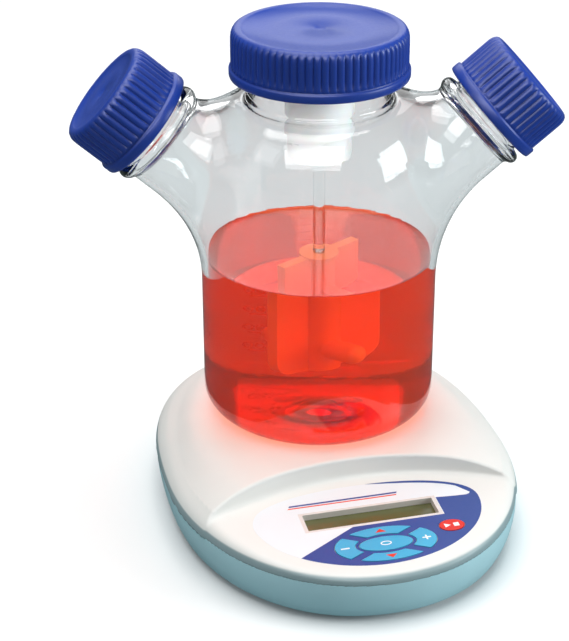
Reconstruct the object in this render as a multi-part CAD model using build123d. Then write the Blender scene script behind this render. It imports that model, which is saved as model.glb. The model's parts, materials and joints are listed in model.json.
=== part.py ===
"""Magnetic stirrer base with a three-neck spinner flask and its hanging impeller.

Millimetres, +Z up. The origin is on the bench, under the centre of the base's outline.
The front of the base, with the control panel, faces -Y. The drive axis is vertical, behind the origin.
"""
import os
from math import cos, pi, sin

from build123d import *

os.makedirs("parts", exist_ok=True)

# ---------------------------------------------------------------- driving dimensions
BASE_LENGTH = 216.0
BASE_WIDTH = 167.0
WIDEST_Y = -4.4          # the outline is widest a little in front of its middle
FRONT_ROUNDNESS = 2.1    # superellipse exponents of the outline's two halves
REAR_ROUNDNESS = 2.55
AXIS_Y = 30.6            # drive axis, which is also the flask's axis

FOOT_HEIGHT = 3.0
SPLIT_Z = 21.0           # parting line between the two shells
RIM_Z = 31.0             # where the rolled edge meets the dome of the deck
SEAT_Z = 39.5            # flat seat that the flask stands on
SEAT_RADIUS = 59.0
SHELL_WALL = 2.4
FRONT_EDGE_RADIUS = 4.0
SEAT_EDGE_RADIUS = 5.0

PANEL_FRONT_Z = 25.5     # panel plane at the front edge and at the foot of the step
PANEL_FRONT_Y = -102.0
PANEL_BACK_Z = 28.7
PANEL_BACK_Y = -31.0
STEP_RADIUS = 150.0      # the step between deck and panel is an arc in plan
STEP_Y = -30.2           # its rearmost point

FLASK_YAW = -8.0         # the side arms are turned a little against the base
FLASK_RADIUS = 56.3
FLASK_CORNER = 12.0
GLASS = 2.6
SHOULDER_Z = 150.0
NECK_Z = 197.0
NECK_RADIUS = 33.5
NECK_TOP_Z = 226.0
LIQUID_Z = 121.5

ARM_CROSS_Z = 116.5      # height at which the arm axes meet the flask's axis
ARM_TILT = 48.7          # from vertical
ARM_RADIUS = 22.0
ARM_MOUTH = 128.0        # along the arm axis, from the crossing
ARM_BORE = 17.0

RUNNING = 0.05           # radial clearance of a shaft in its bearing
GAP = 0.35               # between curved faces of different bodies

PANEL_SLOPE = (PANEL_BACK_Z - PANEL_FRONT_Z) / (PANEL_BACK_Y - PANEL_FRONT_Y)


def save(shape, name):
    """Write one node."""
    shape.label = name
    export_step(shape, f"parts/{name}.step")


def at_axis(z=0.0):
    """Place on the drive axis at a height."""
    return Location((0, AXIS_Y, z))


def cylinder(radius, z0, z1, x=0.0, y=0.0):
    """Upright cylinder between two heights."""
    return Pos(x, y, z0) * Cylinder(radius, z1 - z0, align=(Align.CENTER, Align.CENTER, Align.MIN))


def block(x0, x1, y0, y1, z0, z1):
    """Box from its limits."""
    size = (x1 - x0, y1 - y0, z1 - z0)
    return Pos((x0 + x1) / 2, (y0 + y1) / 2, (z0 + z1) / 2) * Box(*size)


# ---------------------------------------------------------------- base outline and shells
OUTLINE_STEPS = 36


def outline_point(angle, inset):
    """Point of the egg-shaped outline: a superellipse with its own exponent in front and behind."""
    rear = sin(angle) > 0
    roundness = REAR_ROUNDNESS if rear else FRONT_ROUNDNESS
    half_width = BASE_WIDTH / 2 - inset
    reach = (BASE_LENGTH / 2 - WIDEST_Y if rear else BASE_LENGTH / 2 + WIDEST_Y) - inset
    across = abs(cos(angle) / half_width) ** roundness
    along = abs(sin(angle) / reach) ** roundness
    radius = (across + along) ** (-1 / roundness)
    return radius * cos(angle), WIDEST_Y + radius * sin(angle)


def section(z, inset, towards_seat=0.0, seat_radius=SEAT_RADIUS):
    """Horizontal section: the outline, moved in by inset, then blended towards the seat's circle."""
    points = []
    for k in range(OUTLINE_STEPS):
        angle = 2 * pi * k / OUTLINE_STEPS
        x, y = outline_point(angle, inset)
        seat_x = seat_radius * cos(angle)
        seat_y = AXIS_Y + seat_radius * sin(angle)
        blend = towards_seat
        points.append((x + (seat_x - x) * blend, y + (seat_y - y) * blend, z))
    return Face(Wire([Spline(*points, periodic=True)]))


ROLLED_EDGE = ((SPLIT_Z, 0.0), (25.0, 1.0), (28.5, 3.0), (RIM_Z, 6.5))
DOME_BLENDS = (0.25, 0.5, 0.75, 1.0)
DOME_FULLNESS = 1.6


def domed_body(wall):
    """The top cover's full outer form (wall 0) or the hollow inside it."""
    sections = [section(z - (wall if z > SPLIT_Z else 0), inset + wall) for z, inset in ROLLED_EDGE]
    rim_inset = ROLLED_EDGE[-1][1] + wall
    for blend in DOME_BLENDS:
        rise = (SEAT_Z - RIM_Z) * (1 - (1 - blend) ** DOME_FULLNESS)
        sections.append(section(RIM_Z + rise - wall, rim_inset, blend, SEAT_RADIUS - wall))
    return loft(sections)


def panel_cut(offset):
    """Space above the sloped panel and in front of the curved step, grown by offset."""
    room = cylinder(STEP_RADIUS + offset, 0, 80, y=STEP_Y - STEP_RADIUS)
    below = PANEL.offset(-offset - 50) * Box(400, 400, 100)
    return room - below


def superellipse(half_width, back, front, centre_v, back_roundness, front_roundness):
    """Closed outline in panel coordinates, with its own reach and exponent behind and in front."""
    points = []
    for k in range(OUTLINE_STEPS):
        angle = 2 * pi * k / OUTLINE_STEPS
        behind = sin(angle) > 0
        reach = back if behind else front
        roundness = back_roundness if behind else front_roundness
        across = abs(cos(angle) / half_width) ** roundness
        along = abs(sin(angle) / reach) ** roundness
        radius = (across + along) ** (-1 / roundness)
        points.append((radius * cos(angle), centre_v + radius * sin(angle)))
    return make_face(Spline(*points, periodic=True))


# ---------------------------------------------------------------- control panel, in its own plane
PANEL_Y = -61.0
PANEL_Z = PANEL_FRONT_Z + (PANEL_Y - PANEL_FRONT_Y) * PANEL_SLOPE
PANEL = Plane(origin=(0, PANEL_Y, PANEL_Z), x_dir=(1, 0, 0), z_dir=(0, -PANEL_SLOPE, 1))

OVERLAY_THICKNESS = 0.3
DISPLAY_U = 0.8
DISPLAY_SIZE = (65.6, 15.0)
DISPLAY_VIEW = (62.0, 12.2)
KEYPAD_U = 1.2
KEYPAD_V = -23.2
KEY_CENTRE = (12.4, 5.0)
KEY_RING_INNER = (14.3, 6.9)
KEY_RING_OUTER = (23.6, 12.3)
KEY_GAP = 3.8
KEY_GAP_ANGLE = 28.0
START_POSITION = (34.3, -16.9)
START_SIZE = (5.9, 4.1)
KEY_PROUD = 0.25
KEY_TRAVEL = 0.4
STEM_RADIUS = 1.4
BOARD_TOP = -6.2
BOARD_THICKNESS = 1.6
SWITCH_SIZE = 6.0
BOARD_SCREWS = ((-43, 2), (44, 2), (-31, -25.5), (31, -26))

# where each key's stem meets its switch, relative to the middle of the keypad
KEY_STEMS = {
    "key_up": (0, 9.6),
    "key_down": (0, -9.6),
    "key_left": (-19, 0),
    "key_right": (19, 0),
    "key_centre": (0, 0),
}


def prism(sketch, low, high):
    """Solid over a sketch in the panel's plane, between two heights above that plane."""
    return extrude(PANEL.offset(low) * sketch, amount=high - low)


def overlay_outline(inset=0.0):
    """Teardrop of the printed overlay."""
    return superellipse(53.9 - inset, 20.7 - inset, 41.0 - inset, 3.0, 2.2, 1.95)


def grown_ellipse(size, grow):
    """Ellipse with both half axes grown by the same amount."""
    return Ellipse(size[0] + grow, size[1] + grow)


def key_ring(grow):
    """Elliptical ring of the four arrow keys, parted by two diagonal gaps."""
    ring = grown_ellipse(KEY_RING_OUTER, grow) - grown_ellipse(KEY_RING_INNER, -grow)
    for angle in (KEY_GAP_ANGLE, -KEY_GAP_ANGLE):
        ring = ring - Rot(0, 0, angle) * Rectangle(60, KEY_GAP - 2 * grow)
    return ring


def key_sketches(grow=0.0):
    """Outline of every key, by node name, in panel coordinates."""
    middle = Pos(KEYPAD_U, KEYPAD_V)
    sketches = {"key_centre": middle * grown_ellipse(KEY_CENTRE, grow)}
    for face in key_ring(grow).faces():
        centre = face.center()
        if abs(centre.Y) > 2:
            name = "key_up" if centre.Y > 0 else "key_down"
        else:
            name = "key_right" if centre.X > 0 else "key_left"
        sketches[name] = middle * Sketch(face.wrapped)
    sketches["key_start_stop"] = Pos(*START_POSITION) * grown_ellipse(START_SIZE, grow)
    return sketches


def stem_position(name):
    """Place of a key's stem in panel coordinates."""
    if name == "key_start_stop":
        return START_POSITION
    u, v = KEY_STEMS[name]
    return KEYPAD_U + u, KEYPAD_V + v


def make_keys():
    """Each key is a stiff pad, a little proud of the overlay, on a round stem."""
    for name, sketch in key_sketches().items():
        pad = prism(sketch, -OVERLAY_THICKNESS, KEY_PROUD)
        stem = prism(Pos(*stem_position(name)) * Circle(STEM_RADIUS), -2.9, -OVERLAY_THICKNESS)
        save(pad + stem, name)


def without_key_pockets(body):
    """Cut a body open where the keys travel: shallow pockets with a hole for each stem."""
    for name, sketch in key_sketches(GAP).items():
        body = body - prism(sketch, -OVERLAY_THICKNESS - KEY_TRAVEL - 0.2, 1.0)
        body = body - prism(Pos(*stem_position(name)) * Circle(STEM_RADIUS + GAP), -4.0, 0.0)
    return body


def make_display(u=DISPLAY_U):
    """Window frame, display glass, its module board and the pin header to the control board."""
    place = Pos(u, 0)
    opening = Rectangle(*DISPLAY_SIZE) - Rectangle(*DISPLAY_VIEW)
    save(prism(place * opening, -3.0, -0.05), "display_bezel")
    save(prism(place * Rectangle(70.0, 18.0), -4.4, -3.0), "display_glass")
    save(prism(place * Rectangle(74.0, 21.0), -5.6, -4.4), "display_module")
    pins = [prism(Pos(u - 20 + 2.54 * k, 8.5) * Rectangle(0.64, 0.64), BOARD_TOP, -5.6) for k in range(16)]
    save(Compound(children=pins), "display_pins")


def make_control_board():
    """Board behind the panel, with its chips, switches and screws."""
    low = BOARD_TOP - BOARD_THICKNESS
    outline = overlay_outline(inset=2.0)
    holes = [Pos(*spot) * Circle(1.3) for spot in BOARD_SCREWS]
    save(prism(outline - holes, low, BOARD_TOP), "control_board")
    chips = (
        prism(Pos(-12, -8) * Rectangle(12, 12), low - 1.4, low),
        prism(Pos(14, -2) * Rectangle(7, 9), low - 1.8, low),
        prism(Pos(-34, -6) * Rectangle(9, 6), low - 3.0, low),
        prism(Pos(34, -8) * Rectangle(10, 7), low - 6.0, low),
        prism(Pos(24, 12) * Circle(4.0), low - 6.5, low),
        prism(Pos(-22, 12) * Rectangle(8, 5), low - 4.5, low),
    )
    save(Compound(children=list(chips)), "board_components")
    names = list(KEY_STEMS) + ["key_start_stop"]
    switches = [
        prism(Pos(*stem_position(name)) * Rectangle(SWITCH_SIZE, SWITCH_SIZE), BOARD_TOP, -3.4)
        for name in names
    ]
    save(Compound(children=switches), "key_switches")
    screws = []
    for spot in BOARD_SCREWS:
        head = prism(Pos(*spot) * Circle(2.2), low - 1.6, low)
        screws.append(head + prism(Pos(*spot) * Circle(1.1), low, -3.4))
    save(Compound(children=screws), "board_screws")


# ---------------------------------------------------------------- shells, feet and screws
CASE_SCREWS = ((-62, -30), (62, -30), (-58, 58), (58, 58))
FEET = {
    "foot_front_left": (-40, -66),
    "foot_front_right": (40, -66),
    "foot_rear_left": (-52, 72),
    "foot_rear_right": (52, 72),
}
FOOT_RADIUS = 7.5
FOOT_RECESS = 0.8
INLET_Z = 12.5
INLET_RADIUS = 5.5
BRACKET_HALF = 31.0
BRACKET_TOP = 27.6
BRACKET_SHEET = 1.6
FLOOR_Z = FOOT_HEIGHT + SHELL_WALL


def tub(wall):
    """Outer form of the lower shell (wall 0) or the hollow inside it."""
    levels = ((FOOT_HEIGHT, 3.5), (9.0, 1.2), (SPLIT_Z, 0.0))
    return loft([section(max(z, FOOT_HEIGHT + wall), inset + wall) for z, inset in levels])


def make_lower_shell():
    """Blue-grey tub with screw columns, foot recesses and the inlet's hole."""
    shell = tub(0) - tub(SHELL_WALL)
    for x, y in CASE_SCREWS:
        shell = shell + cylinder(4.6, FLOOR_Z - 1, SPLIT_Z, x, y)
        shell = shell - cylinder(1.7, 0, SPLIT_Z + 1, x, y) - cylinder(3.1, 0, 9.0, x, y)
    for x, y in FEET.values():
        shell = shell - cylinder(FOOT_RADIUS, 0, FOOT_HEIGHT + FOOT_RECESS, x, y)
    inlet_hole = Pos(0, BASE_LENGTH / 2, INLET_Z) * Rot(90, 0, 0) * Cylinder(INLET_RADIUS, 20)
    save(shell - inlet_hole, "lower_shell")


def softened(body):
    """Round the panel's front edge and the edge of the flat seat."""
    planes = body.faces().filter_by(GeomType.PLANE).sort_by(SortBy.AREA)[-3:]
    panel = next(face for face in planes if 0.9 < abs(face.normal_at().Z) < 0.9999)
    front = [edge for edge in panel.edges() if edge.center().Y < PANEL_Y]
    body = fillet(front, FRONT_EDGE_RADIUS)
    seat = body.faces().filter_by(Axis.Z).sort_by(Axis.Z)[-1]
    rim = [edge for edge in seat.edges() if edge.geom_type != GeomType.CIRCLE and edge.length > 20]
    return fillet(rim, SEAT_EDGE_RADIUS)


def make_top_cover():
    """Cream cover: domed deck with a flat seat, curved step and sloped panel."""
    above_seat = block(-200, 200, -200, 200, SEAT_Z, SEAT_Z + 20)
    above_hollow = block(-200, 200, -200, 200, SEAT_Z - SHELL_WALL, SEAT_Z + 20)
    outer = softened(domed_body(0) - above_seat - panel_cut(0))
    hollow = domed_body(SHELL_WALL) - above_hollow - panel_cut(SHELL_WALL)
    cover = outer - hollow
    for x, y in CASE_SCREWS:
        cover = cover + (cylinder(4.0, SPLIT_Z, RIM_Z + 2, x, y) & outer)
        cover = cover - cylinder(1.5, SPLIT_Z - 1, 28.5, x, y)
    for spot in BOARD_SCREWS:
        cover = cover + prism(Pos(*spot) * Circle(2.6), BOARD_TOP, -SHELL_WALL + 0.1)
        cover = cover - prism(Pos(*spot) * Circle(1.15), BOARD_TOP - 1, -3.2)
    cover = cover - prism(overlay_outline(), -OVERLAY_THICKNESS, 1.0)
    cover = without_key_pockets(cover)
    cover = cover - prism(Pos(DISPLAY_U, 0) * Rectangle(*DISPLAY_SIZE), -5.0, 1.0)
    save(cover, "top_cover")


def make_overlay():
    """Thin printed sheet in its shallow recess, open at the display and the keys."""
    sheet = prism(overlay_outline(), -OVERLAY_THICKNESS, 0)
    sheet = sheet - prism(Pos(DISPLAY_U, 0) * Rectangle(*DISPLAY_SIZE), -1, 1)
    save(without_key_pockets(sheet), "control_overlay")


def make_feet_and_screws():
    """Four rubber feet and the four screws that hold the shells together."""
    for name, (x, y) in FEET.items():
        save(fillet(cylinder(FOOT_RADIUS, 0, FOOT_HEIGHT + FOOT_RECESS, x, y).edges().group_by(Axis.Z)[0], 0.6), name)
    screws = [cylinder(2.8, 6.6, 9.0, x, y) + cylinder(1.45, 9.0, 27.0, x, y) for x, y in CASE_SCREWS]
    save(Compound(children=screws), "case_screws")


def make_inlet():
    """Barrel socket for the power plug in the rear wall, with its nut inside."""
    rear = BASE_LENGTH / 2
    place = Pos(0, rear, INLET_Z) * Rot(90, 0, 0)
    barrel = place * Pos(0, 0, 7) * Cylinder(INLET_RADIUS - 0.05, 15)
    bore = place * Pos(0, 0, 3) * Cylinder(3.2, 14)
    pin = place * Pos(0, 0, 6) * Cylinder(1.0, 10)
    save(barrel - bore + pin, "power_inlet")
    nut = place * Pos(0, 0, 6) * (extrude(RegularPolygon(8.0, 6), 2.4) - Pos(0, 0, 1.2) * Cylinder(INLET_RADIUS, 6))
    save(nut, "inlet_nut")


# ---------------------------------------------------------------- motor and magnetic drive
MOTOR_RADIUS = 18.0
MOTOR_TOP = 26.0
SHAFT_RADIUS = 1.5
BEARING_RADIUS = 4.0
CARRIER_RADIUS = 26.0
CARRIER_Z = (31.5, 35.5)
HUB_Z = 28.8
MAGNET_REACH = 16.0
MAGNET_RADIUS = 7.0
MOTOR_SCREW_REACH = 12.0


def make_motor():
    """Flat motor hung from a bridge-shaped bracket, with its top bearing."""
    motor = cylinder(MOTOR_RADIUS, 6.6, MOTOR_TOP, y=AXIS_Y) + cylinder(7.0, MOTOR_TOP, 28.0, y=AXIS_Y)
    motor = motor - cylinder(2.2, 8.0, 30.0, y=AXIS_Y) - cylinder(BEARING_RADIUS, 24.0, 30.0, y=AXIS_Y)
    screws = []
    for side in (-1, 1):
        x = side * MOTOR_SCREW_REACH
        motor = motor - cylinder(1.5, 20.0, 30.0, x, AXIS_Y)
        head = cylinder(2.7, BRACKET_TOP, BRACKET_TOP + 1.2, x, AXIS_Y)
        screws.append(head + cylinder(1.45, 21.0, BRACKET_TOP, x, AXIS_Y))
    save(motor, "motor")
    save(Compound(children=screws), "motor_screws")
    bearing = cylinder(BEARING_RADIUS, 24.0, 28.2, y=AXIS_Y)
    save(bearing - cylinder(SHAFT_RADIUS + RUNNING, 20, 30, y=AXIS_Y), "motor_bearing")


def make_bracket():
    """Sheet-metal bridge over the motor, screwed to the floor of the lower shell."""
    depth = 15.0
    low = BRACKET_TOP - BRACKET_SHEET
    plate = block(-BRACKET_HALF, BRACKET_HALF, AXIS_Y - depth, AXIS_Y + depth, low, BRACKET_TOP)
    for side in (-1, 1):
        outer = side * BRACKET_HALF
        leg = sorted((outer, outer - side * BRACKET_SHEET))
        toe = sorted((outer, outer + side * 9.0))
        plate = plate + block(*leg, AXIS_Y - depth, AXIS_Y + depth, FLOOR_Z, BRACKET_TOP)
        plate = plate + block(*toe, AXIS_Y - depth, AXIS_Y + depth, FLOOR_Z, FLOOR_Z + BRACKET_SHEET)
    plate = plate - cylinder(7.2, 20, 40, y=AXIS_Y)
    for side in (-1, 1):
        plate = plate - cylinder(1.6, 20, 40, side * MOTOR_SCREW_REACH, AXIS_Y)
    save(plate, "motor_bracket")


def make_drive_rotor():
    """Shaft, magnet carrier, two magnets and the set screw, all turning with the motor."""
    save(cylinder(SHAFT_RADIUS, 9.0, 34.0, y=AXIS_Y), "drive_shaft")
    disc = cylinder(CARRIER_RADIUS, *CARRIER_Z, y=AXIS_Y) + cylinder(6.0, HUB_Z, CARRIER_Z[0], y=AXIS_Y)
    disc = disc - cylinder(SHAFT_RADIUS, HUB_Z - 1, 34.0, y=AXIS_Y)
    magnets = []
    for side in (-1, 1):
        x = side * MAGNET_REACH
        disc = disc - cylinder(MAGNET_RADIUS, 32.5, 40.0, x, AXIS_Y)
        magnets.append(cylinder(MAGNET_RADIUS, 32.5, CARRIER_Z[1], x, AXIS_Y))
    thread = Pos(3.8, AXIS_Y, 30.1) * Rot(0, 90, 0) * Cylinder(1.0, 4.4)
    save(disc - thread, "magnet_carrier")
    save(Compound(children=magnets), "drive_magnets")
    save(thread - cylinder(SHAFT_RADIUS, HUB_Z, 34.0, y=AXIS_Y), "carrier_set_screw")


def lead(points, radius, wire_radius=0.8):
    """Insulated wire along straight runs joined by tangent arcs."""
    path = FilletPolyline(*points, radius=radius)
    profile = Plane(origin=path @ 0, z_dir=path % 0) * Circle(wire_radius)
    return sweep(profile, path=path)


def make_leads():
    """Pairs of wires from the control board to the motor and from the inlet to the board."""
    low = 17.6
    motor_pair = [
        lead([(x, -58, low), (x, -48, 10.5), (x, -20, 8.0), (x, AXIS_Y - MOTOR_RADIUS - 0.1, 9.5)], 8.0)
        for x in (-3.0, 0.0)
    ]
    save(Compound(children=motor_pair), "motor_leads")
    power_pair = []
    for shift in (0.0, 2.2):
        route = [
            (2.6 + shift, 92.9, INLET_Z),
            (14 + shift, 84, 9.0),
            (45 + shift, 62, 7.6 + shift / 2),
            (47 + shift, 0, 7.6 + shift / 2),
            (40 + shift, -40, 9.0),
            (34 + shift, -58, 15.0),
        ]
        power_pair.append(lead(route, 6.0))
    save(Compound(children=power_pair), "power_leads")


# ---------------------------------------------------------------- flask
def flask_body(inset):
    """The flask's main volume: cylinder, rounded foot, domed shoulder and neck."""
    radius = FLASK_RADIUS - inset
    corner = FLASK_CORNER - inset
    floor = SEAT_Z + inset
    neck = NECK_RADIUS - inset
    top = NECK_Z - inset
    foot = Line((0, floor), (radius - corner, floor))
    round_foot = RadiusArc(foot @ 1, (radius, floor + corner), -corner)
    wall = Line(round_foot @ 1, (radius, SHOULDER_Z))
    shoulder = Bezier(wall @ 1, (radius, 180 - inset), (radius - 8, top), (neck + 3, top))
    to_neck = RadiusArc(shoulder @ 1, (neck, top + 3), 3)
    neck_wall = Line(to_neck @ 1, (neck, NECK_TOP_Z + inset))
    lid = Line(neck_wall @ 1, (0, NECK_TOP_Z + inset))
    back = Line(lid @ 1, (0, floor))
    return revolve(Plane.XZ * make_face([foot, round_foot, wall, shoulder, to_neck, neck_wall, lid, back]), Axis.Z)


def arm_place(side):
    """Frame of a side arm: Z runs out along the arm from the crossing point."""
    return Pos(0, 0, ARM_CROSS_Z) * Rot(0, side * ARM_TILT, 0)


def arm_solid(points):
    """Solid of revolution about an arm's axis from (radius, distance) points."""
    start = points[0][1]
    end = points[-1][1]
    return revolve(Plane.XZ * make_face(Polyline((0, start), *points, (0, end), (0, start))), Axis.Z)


BEAD_S = 101.0
ARM_OUTER = (
    (ARM_RADIUS, 30),
    (ARM_RADIUS, BEAD_S - 4),
    (ARM_RADIUS + 3.4, BEAD_S - 1.2),
    (ARM_RADIUS + 3.4, BEAD_S + 1.2),
    (ARM_BORE + 2.8, BEAD_S + 4),
    (ARM_BORE + 2.8, ARM_MOUTH),
)
ARM_INNER = (
    (ARM_RADIUS - GLASS, 30),
    (ARM_RADIUS - GLASS, BEAD_S - 2),
    (ARM_BORE, BEAD_S + 4),
    (ARM_BORE, ARM_MOUTH + 2),
)


def make_flask():
    """Glass vessel, and the culture medium with the impeller's turning space left open."""
    outer = flask_body(0)
    inner = flask_body(GLASS)
    for side in (-1, 1):
        outer = outer + arm_place(side) * arm_solid(ARM_OUTER)
        inner = inner + arm_place(side) * arm_solid(ARM_INNER)
    place = at_axis() * Rot(0, 0, FLASK_YAW)
    save(place * (outer - inner), "flask_vessel")
    medium = flask_body(GLASS + 0.1) & cylinder(FLASK_RADIUS, 0, LIQUID_Z)
    turning_space = cylinder(PADDLE_REACH + 1.2, PADDLE_BOTTOM - 2.0, LIQUID_Z + 1)
    save(place * (medium - turning_space), "culture_medium")


# ---------------------------------------------------------------- closure and impeller
CAP_BOTTOM = 208.4
CAP_TOP = 231.2
CAP_RADIUS = 40.7
CAP_FLANGE_RADIUS = 41.8
CAP_FLANGE = 4.6
PLUG_RADIUS = 16.2
PLUG_BOTTOM = 170.0
PLUG_FLANGE_TOP = NECK_TOP_Z + 1.2
ROD_RADIUS = 2.85
PADDLE_REACH = 24.4
PADDLE_THICKNESS = 5.0
PADDLE_TOP = 118.6
PADDLE_BOTTOM = 66.0
PADDLE_YAW = 28.6
BAR_Z = 77.0
BAR_RADIUS = 4.8
BAR_REACH = 24.0


def screw_cap(radius, flange_radius, flange, height, bore, lid):
    """Cap along +Z with a plain flange at its open end."""
    cap = cylinder(radius, 0, height) + cylinder(flange_radius, 0, flange)
    cap = fillet(cap.edges().group_by(Axis.Z)[-1], 1.6)
    return cap - cylinder(bore, -1, height - lid)


def make_closure():
    """Centre cap, its seal and the plug that hangs the impeller."""
    height = CAP_TOP - CAP_BOTTOM
    cap = screw_cap(CAP_RADIUS, CAP_FLANGE_RADIUS, CAP_FLANGE, height, NECK_RADIUS + 3.8, 2.4)
    save(at_axis(CAP_BOTTOM) * cap, "center_cap")
    seal = cylinder(33.0, PLUG_FLANGE_TOP, PLUG_FLANGE_TOP + 1.2) - cylinder(20.0, 200, 240)
    save(at_axis() * seal, "center_seal")
    inside_neck = NECK_RADIUS - GLASS - 0.8
    plug = cylinder(NECK_RADIUS, NECK_TOP_Z, PLUG_FLANGE_TOP) + cylinder(inside_neck, 212.0, NECK_TOP_Z)
    plug = plug + cylinder(PLUG_RADIUS, 182.0, 212.0) + cylinder(PLUG_RADIUS - 1.4, PLUG_BOTTOM, 182.0)
    plug = plug - cylinder(12.0, 180.0, 230.0) - cylinder(26.0, 214.5, 230.0)
    save(at_axis() * (plug - cylinder(6.0, 160.0, 190.0)), "hanger_plug")
    bearing = cylinder(6.0, PLUG_BOTTOM, 180.0) - cylinder(ROD_RADIUS + RUNNING, 160.0, 190.0)
    save(at_axis() * bearing, "hanger_bearing")


def make_impeller():
    """Glass rod, collar, moulded paddle and the magnet bar across it."""
    rod_bottom = PADDLE_TOP - 20
    save(at_axis() * cylinder(ROD_RADIUS, rod_bottom, 190.0), "impeller_shaft")
    save(at_axis() * (cylinder(8.0, 180.4, 186.0) - cylinder(ROD_RADIUS, 170, 190)), "shaft_collar")
    blade = Pos(0, 0, (PADDLE_TOP - 1 + PADDLE_BOTTOM) / 2)
    blade = blade * Box(2 * PADDLE_REACH, PADDLE_THICKNESS, PADDLE_TOP - 1 - PADDLE_BOTTOM)
    corners = blade.edges().filter_by(Axis.Y).group_by(Axis.Z)
    blade = fillet(corners[0], 8.0)
    hub = cylinder(7.8, PADDLE_BOTTOM, PADDLE_TOP - 4) + cylinder(9.5, PADDLE_TOP - 4, PADDLE_TOP)
    bar = Rot(90, 0, 0) * Cylinder(BAR_RADIUS, 2 * BAR_REACH)
    bar = Pos(0, 0, BAR_Z) * fillet(bar.edges(), BAR_RADIUS - 0.3)
    place = at_axis() * Rot(0, 0, PADDLE_YAW)
    tunnel = Pos(0, 0, BAR_Z) * Rot(90, 0, 0) * Cylinder(BAR_RADIUS, 3 * BAR_REACH)
    save(place * (blade + hub - tunnel - cylinder(ROD_RADIUS, rod_bottom, 130)), "paddle")
    save(place * bar, "stir_magnet")


# ---------------------------------------------------------------- side caps
SIDE_CAP_S = 106.3
SIDE_CAP_HEIGHT = 26.4
SIDE_CAP_RADIUS = 25.8
SIDE_FLANGE_RADIUS = 27.25
SIDE_FLANGE = 5.5


def make_side_closures():
    """GL45 caps with their seals on the two side arms."""
    for name, side in (("left", -1), ("right", 1)):
        place = at_axis() * Rot(0, 0, FLASK_YAW) * arm_place(side)
        cap = screw_cap(SIDE_CAP_RADIUS, SIDE_FLANGE_RADIUS, SIDE_FLANGE, SIDE_CAP_HEIGHT, 22.6, 2.4)
        save(place * Pos(0, 0, SIDE_CAP_S) * cap, f"{name}_cap")
        save(place * cylinder(21.5, ARM_MOUTH, ARM_MOUTH + 1.9), f"{name}_seal")


# ---------------------------------------------------------------- build
make_lower_shell()
make_top_cover()
make_overlay()
make_keys()
make_display()
make_control_board()
make_feet_and_screws()
make_inlet()
make_motor()
make_bracket()
make_drive_rotor()
make_leads()
make_flask()
make_closure()
make_impeller()
make_side_closures()
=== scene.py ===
"""Looks of the magnetic stirrer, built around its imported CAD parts.

Geometry is worked out in millimetres in the part's own frame and written to meshes in metres.
"""
import json
from math import atan2, cos, exp, pi, radians, sin, sqrt

import bpy
import numpy as np
from mathutils import Matrix, Vector


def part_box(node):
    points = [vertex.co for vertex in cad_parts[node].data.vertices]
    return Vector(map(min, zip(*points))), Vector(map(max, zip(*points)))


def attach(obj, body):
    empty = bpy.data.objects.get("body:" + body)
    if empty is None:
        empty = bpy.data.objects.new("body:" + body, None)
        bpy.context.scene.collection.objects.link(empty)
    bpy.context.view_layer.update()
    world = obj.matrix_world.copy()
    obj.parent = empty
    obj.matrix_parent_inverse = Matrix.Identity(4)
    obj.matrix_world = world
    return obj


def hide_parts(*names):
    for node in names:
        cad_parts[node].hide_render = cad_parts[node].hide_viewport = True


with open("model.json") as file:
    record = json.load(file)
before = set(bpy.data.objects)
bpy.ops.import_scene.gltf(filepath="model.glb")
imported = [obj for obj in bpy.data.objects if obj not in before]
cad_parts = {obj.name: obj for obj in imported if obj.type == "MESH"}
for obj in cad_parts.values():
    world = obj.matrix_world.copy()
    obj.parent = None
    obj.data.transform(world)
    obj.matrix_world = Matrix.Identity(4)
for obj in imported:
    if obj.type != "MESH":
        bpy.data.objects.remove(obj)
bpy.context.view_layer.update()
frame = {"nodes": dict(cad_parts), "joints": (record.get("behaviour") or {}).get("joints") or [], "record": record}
NODES = frame["nodes"]
MM = 0.001


def box(node):
    """Lowest and highest corner of a CAD node, in millimetres."""
    low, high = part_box(node)
    return np.array(low) / MM, np.array(high) / MM


def joint_axis(name):
    """Unit axis of a joint in the record."""
    found = next(joint for joint in frame["joints"] if joint["name"] == name)
    return np.array(found["axis"], float)


# ---------------------------------------------------------------- sizes, in mm
AXIS = (box("drive_shaft")[0] + box("drive_shaft")[1])[:2] / 2
SEAT_Z = box("top_cover")[1][2]
SPLIT_Z = box("top_cover")[0][2]
NECK_TOP_Z = box("flask_vessel")[1][2]
LIQUID_Z = box("culture_medium")[1][2]
GLASS = 2.6
FLASK_RADIUS = (box("culture_medium")[1][0] - box("culture_medium")[0][0]) / 2 + GLASS + 0.1
FLASK_CORNER = 12.0
SHOULDER_Z = 150.0
NECK_Z = 197.0
NECK_RADIUS = 33.5
ARM_CROSS_Z = 116.5
ARM_RADIUS = 22.0
ARM_BORE = 17.0
ARM_MOUTH = 128.0
BEAD_S = 101.0
ARM_BLEND = 22.0
MEDIUM_OVERLAP = 0.12
MENISCUS = 1.0
FLASK_CELL = 1.3
COVER_CELL = 1.15

# volume scale printed on the flask's rear wall
SCALE_ANGLE = pi / 2
SCALE_RISE = 10.2
SCALE_MARKS = 7
SCALE_LINE = (12.0, 0.7)
SCALE_END = 1.3
DIGIT_HEIGHT = 5.0
SCALE_INK = 0.06

# caps: outside radius, flange radius, flange height, height, bore radius, ribs, dish of the top
CENTER_CAP = (40.9, 41.8, 4.6, box("center_cap")[1][2] - box("center_cap")[0][2], 37.3, 72, 0.9)
SIDE_CAP = (26.0, 27.2, 5.0, 26.4, 22.6, 44, 0.8)
SIDE_CAP_S = 106.3
RIB_DEPTH = 1.15

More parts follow.
